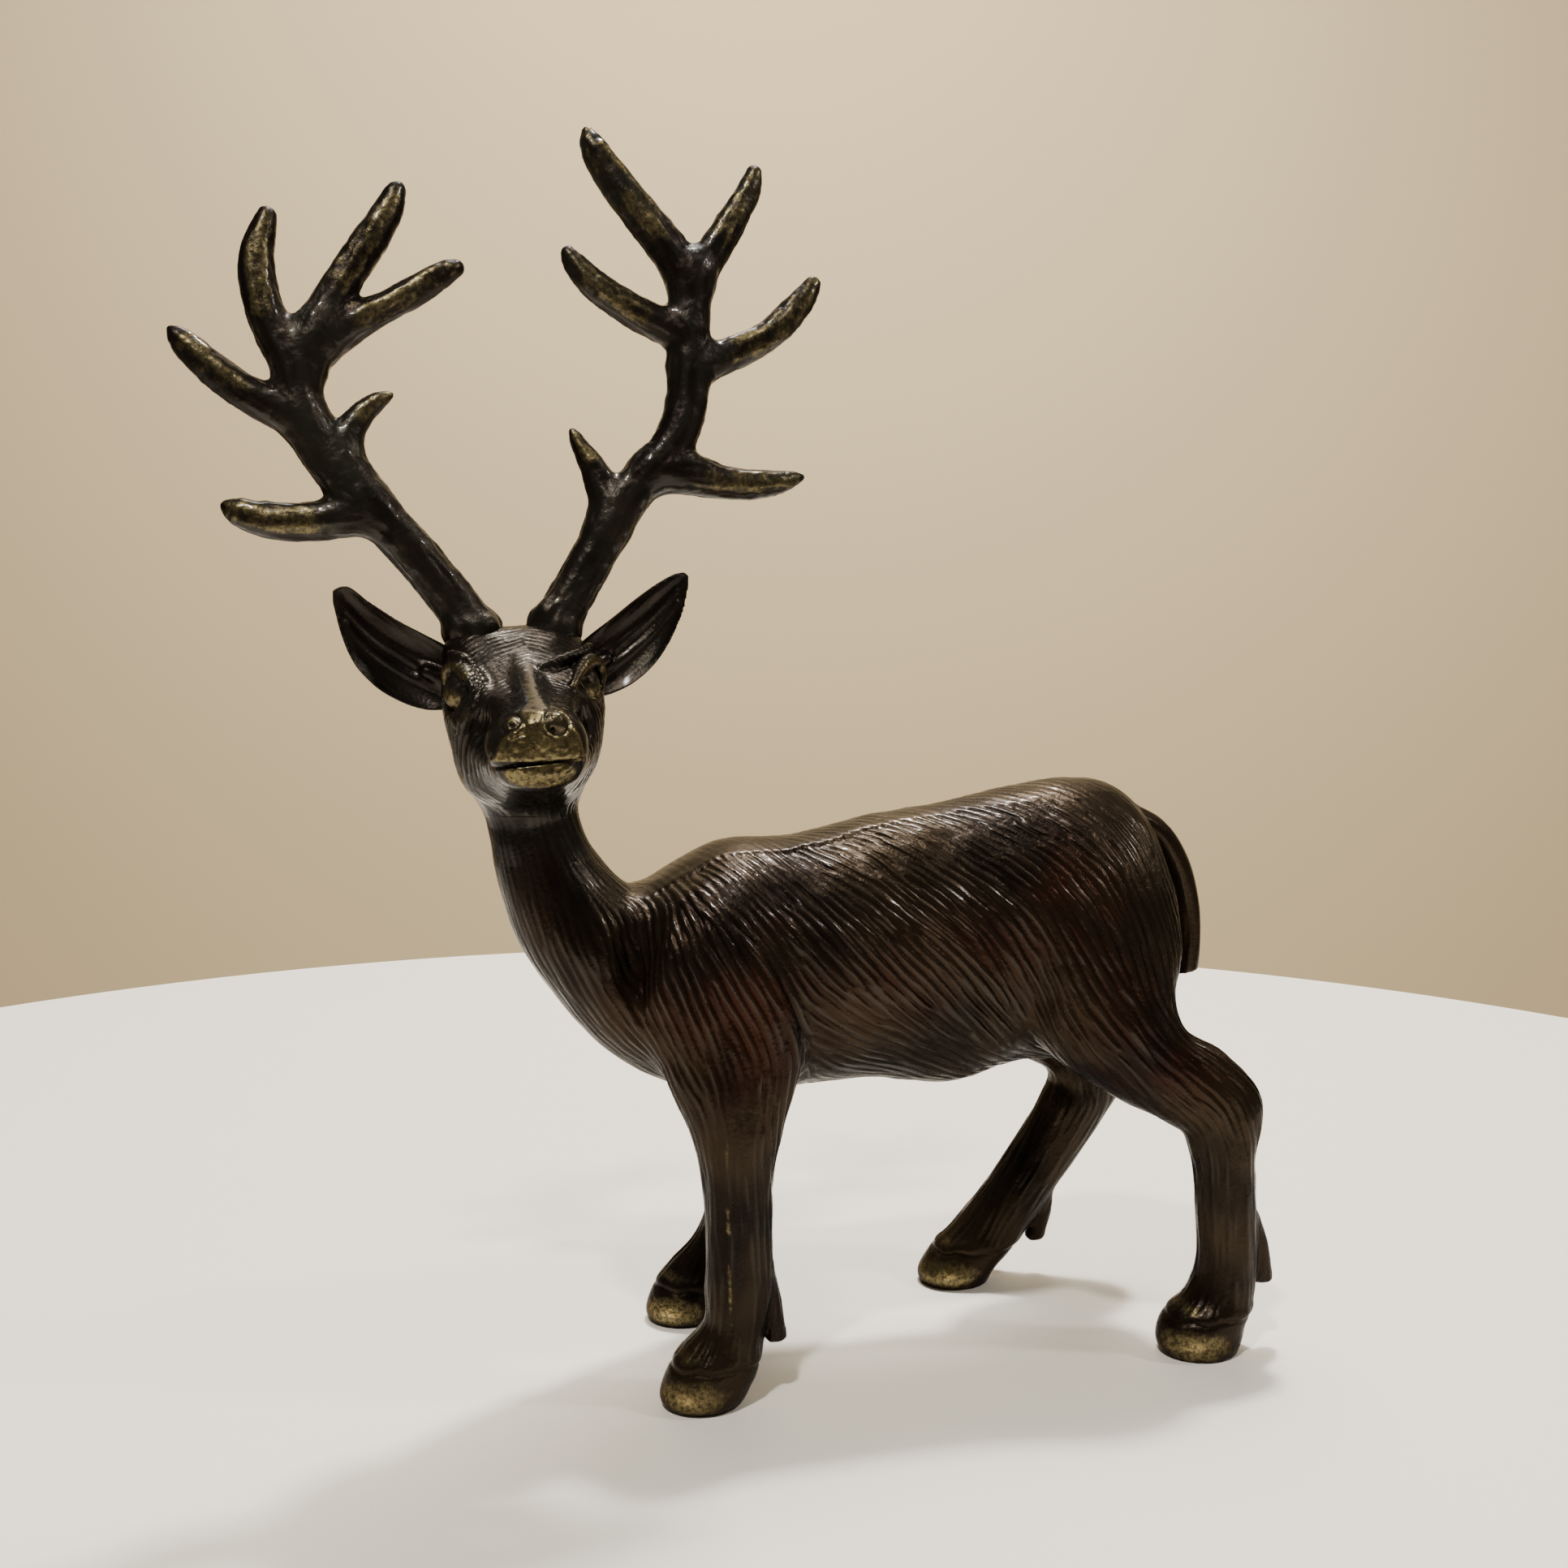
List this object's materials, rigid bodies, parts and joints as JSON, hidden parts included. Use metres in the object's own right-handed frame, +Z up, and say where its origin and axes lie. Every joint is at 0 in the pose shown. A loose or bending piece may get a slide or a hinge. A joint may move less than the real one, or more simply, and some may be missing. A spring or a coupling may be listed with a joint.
{
  "type": "stag statuette",
  "caption": "Standing stag in patinated cast metal, head turned to its left, with branching antlers, standing on its four hooves.",
  "frame": {"origin": "centre of the statuette's outline on the surface that the hooves stand on", "axes": "+Z up, -Y the way the body faces, +X the stag's left side, which its head is turned to"},
  "size_m": [0.0836, 0.258, 0.2969],
  "materials": {
    "brown_patina": "chased hair, dark brown patina with reddish patches, waxed",
    "dark_patina": "near-black patina, waxed, rubbed bright on the high spots",
    "antler_patina": "dark patina, rubbed through to bright metal along the tines",
    "raw_casting": "as cast",
    "dowel_steel": "turned"
  },
  "bodies": {
    "root": {"body_left_half": "brown_patina", "body_right_half": "brown_patina", "neck": "brown_patina", "head": "dark_patina", "ear_left": "dark_patina", "ear_right": "dark_patina", "antler_left": "antler_patina", "antler_right": "antler_patina", "front_left_leg": "brown_patina", "front_right_leg": "brown_patina", "hind_left_leg": "brown_patina", "hind_right_leg": "brown_patina", "tail": "dark_patina", "neck_base_sleeve": "raw_casting", "throat_sleeve": "raw_casting", "leg_dowels": "dowel_steel", "antler_dowels": "dowel_steel", "ear_dowels": "dowel_steel", "tail_dowel": "dowel_steel", "belly_plug": "raw_casting"}
  },
  "joints": []
}
